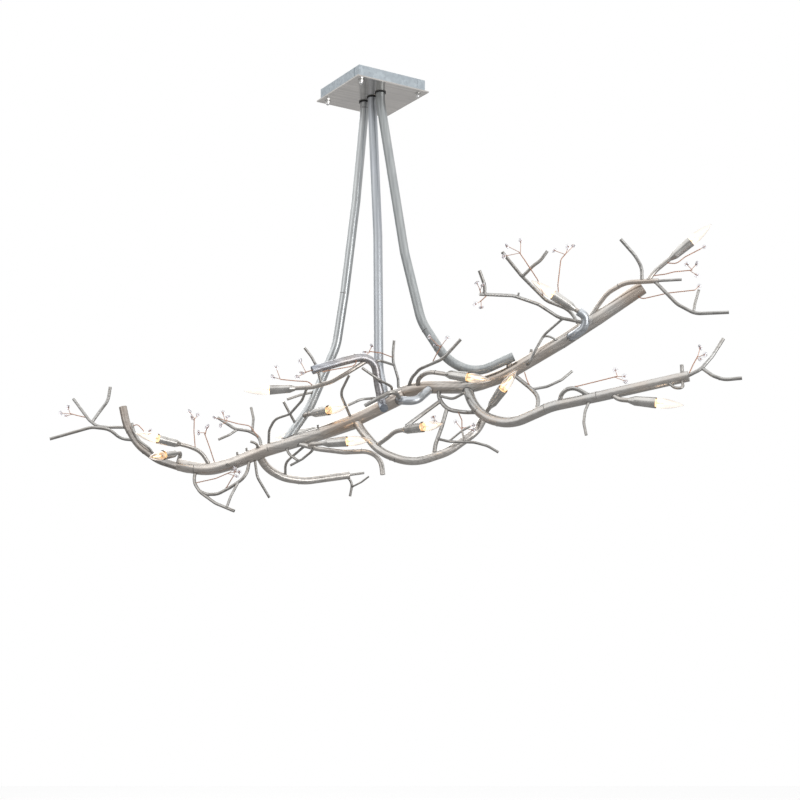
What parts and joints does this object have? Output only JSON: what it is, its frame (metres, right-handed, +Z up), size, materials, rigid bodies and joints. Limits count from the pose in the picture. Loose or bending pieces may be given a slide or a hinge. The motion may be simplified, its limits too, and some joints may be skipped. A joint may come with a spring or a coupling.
{
  "type": "branch chandelier",
  "caption": "Ceiling chandelier of bent brushed steel tubes shaped like a branch, hung by slanting tubes from a square canopy, with welded twigs, glass beads and candle bulbs.",
  "frame": {"origin": "centre of the canopy top face, where it lies on the ceiling", "axes": "+X along the crown towards its upswept right end, +Y away from the viewer, +Z up"},
  "size_m": [2.0315, 0.7197, 1.3247],
  "materials": {
    "canopy_sheet": "mottled satin",
    "fastener_steel": "zinc plated",
    "bright_nut": "polished",
    "grommet_rubber": "matt",
    "terminal_plastic": "matt",
    "brass": "plain",
    "wire_insulation": "matt",
    "hanger_steel": "brushed along the tube",
    "tube_steel": "brushed along the tube",
    "twig_steel": "dark satin",
    "sleeve_steel": "satin nickel",
    "holder_plastic": "matt",
    "copper": "dull copper",
    "bead_glass": "clear",
    "bulb_glass": "clear"
  },
  "bodies": {
    "chandelier": {"canopy_box": "canopy_sheet", "canopy_plate": "canopy_sheet", "canopy_studs": "fastener_steel", "cap_nuts": "bright_nut", "stud_washers": "fastener_steel", "tube_grommets": "grommet_rubber", "tube_locknuts": "fastener_steel", "lock_washers": "fastener_steel", "terminal_block": "terminal_plastic", "earth_screw": "brass", "canopy_leads": "wire_insulation", "hanger_left": "hanger_steel", "hanger_middle": "hanger_steel", "hanger_right": "hanger_steel", "hanger_wires": "wire_insulation", "main_left": "tube_steel", "main_middle": "tube_steel", "main_right": "tube_steel", "main_wires": "wire_insulation", "left_end_tube": "tube_steel", "upper_arm": "tube_steel", "lower_left_limb": "tube_steel", "lower_middle_limb": "tube_steel", "lower_right_limb": "tube_steel", "curl_arm": "tube_steel", "cross_arm": "tube_steel", "right_rod": "tube_steel", "joint_knot": "tube_steel", "weld_tacks": "tube_steel", "twigs_left_end": "twig_steel", "twigs_left_under": "twig_steel", "twigs_left_top": "twig_steel", "twigs_middle_left": "twig_steel", "twigs_upper_arm": "twig_steel", "twigs_centre": "twig_steel", "twigs_low_centre": "twig_steel", "twigs_right_low": "twig_steel", "twigs_right_tip": "twig_steel", "twigs_right_top": "twig_steel", "stems": "copper", "bead_wires": "copper", "beads": "bead_glass", "lamp_rods": "tube_steel", "lamp_nipples": "brass", "lamp_sleeves": "sleeve_steel", "lampholders": "holder_plastic", "holder_contacts": "brass", "lamp_leads": "wire_insulation"},
    "bulb_01_body": {"bulb_01": "bulb_glass"},
    "bulb_02_body": {"bulb_02": "bulb_glass"},
    "bulb_03_body": {"bulb_03": "bulb_glass"},
    "bulb_04_body": {"bulb_04": "bulb_glass"},
    "bulb_05_body": {"bulb_05": "bulb_glass"},
    "bulb_06_body": {"bulb_06": "bulb_glass"},
    "bulb_07_body": {"bulb_07": "bulb_glass"},
    "bulb_08_body": {"bulb_08": "bulb_glass"},
    "bulb_09_body": {"bulb_09": "bulb_glass"},
    "bulb_10_body": {"bulb_10": "bulb_glass"},
    "bulb_11_body": {"bulb_11": "bulb_glass"},
    "bulb_12_body": {"bulb_12": "bulb_glass"}
  },
  "joints": [
    {"name": "bulb_01_screw", "type": "hinge", "parent": "chandelier", "child": "bulb_01_body", "pos_m": [0.861, -0.24, -0.618], "axis": [0.7582, -0.2308, 0.6098], "range_deg": [0, 1080]},
    {"name": "bulb_02_screw", "type": "hinge", "parent": "chandelier", "child": "bulb_02_body", "pos_m": [0.716, -0.335, -1.044], "axis": [0.9239, -0.3553, -0.1421], "range_deg": [0, 1080]},
    {"name": "bulb_03_screw", "type": "hinge", "parent": "chandelier", "child": "bulb_03_body", "pos_m": [0.58994, -0.19837, -0.7566], "axis": [-0.8382, -0.1142, 0.5333], "range_deg": [0, 1080]},
    {"name": "bulb_04_screw", "type": "hinge", "parent": "chandelier", "child": "bulb_04_body", "pos_m": [0.22, -0.105, -0.931], "axis": [0.8466, -0.4884, -0.2116], "range_deg": [0, 1080]},
    {"name": "bulb_05_screw", "type": "hinge", "parent": "chandelier", "child": "bulb_05_body", "pos_m": [0.35, -0.091, -1.026], "axis": [0.4711, -0.6374, 0.6097], "range_deg": [0, 1080]},
    {"name": "bulb_06_screw", "type": "hinge", "parent": "chandelier", "child": "bulb_06_body", "pos_m": [0.095, -0.118, -1.098], "axis": [0.7542, -0.6558, 0.0328], "range_deg": [0, 1080]},
    {"name": "bulb_07_screw", "type": "hinge", "parent": "chandelier", "child": "bulb_07_body", "pos_m": [-0.182, 0.045, -1.027], "axis": [0.7264, -0.6861, 0.0404], "range_deg": [0, 1080]},
    {"name": "bulb_08_screw", "type": "hinge", "parent": "chandelier", "child": "bulb_08_body", "pos_m": [-0.142, -0.024, -1.126], "axis": [0.9622, -0.2685, 0.0448], "range_deg": [0, 1080]},
    {"name": "bulb_09_screw", "type": "hinge", "parent": "chandelier", "child": "bulb_09_body", "pos_m": [-0.164, 0.12, -1.067], "axis": [-0.9267, 0.3564, -0.1188], "range_deg": [0, 1080]},
    {"name": "bulb_10_screw", "type": "hinge", "parent": "chandelier", "child": "bulb_10_body", "pos_m": [-0.586, 0.088, -1.115], "axis": [-0.8121, -0.5622, 0.1562], "range_deg": [0, 1080]},
    {"name": "bulb_11_screw", "type": "hinge", "parent": "chandelier", "child": "bulb_11_body", "pos_m": [-0.61, 0.169, -1.133], "axis": [-0.391, -0.8994, -0.1955], "range_deg": [0, 1080]},
    {"name": "bulb_12_screw", "type": "hinge", "parent": "chandelier", "child": "bulb_12_body", "pos_m": [-0.223, -0.08, -0.969], "axis": [-0.9974, -0.0399, -0.0598], "range_deg": [0, 1080]}
  ]
}
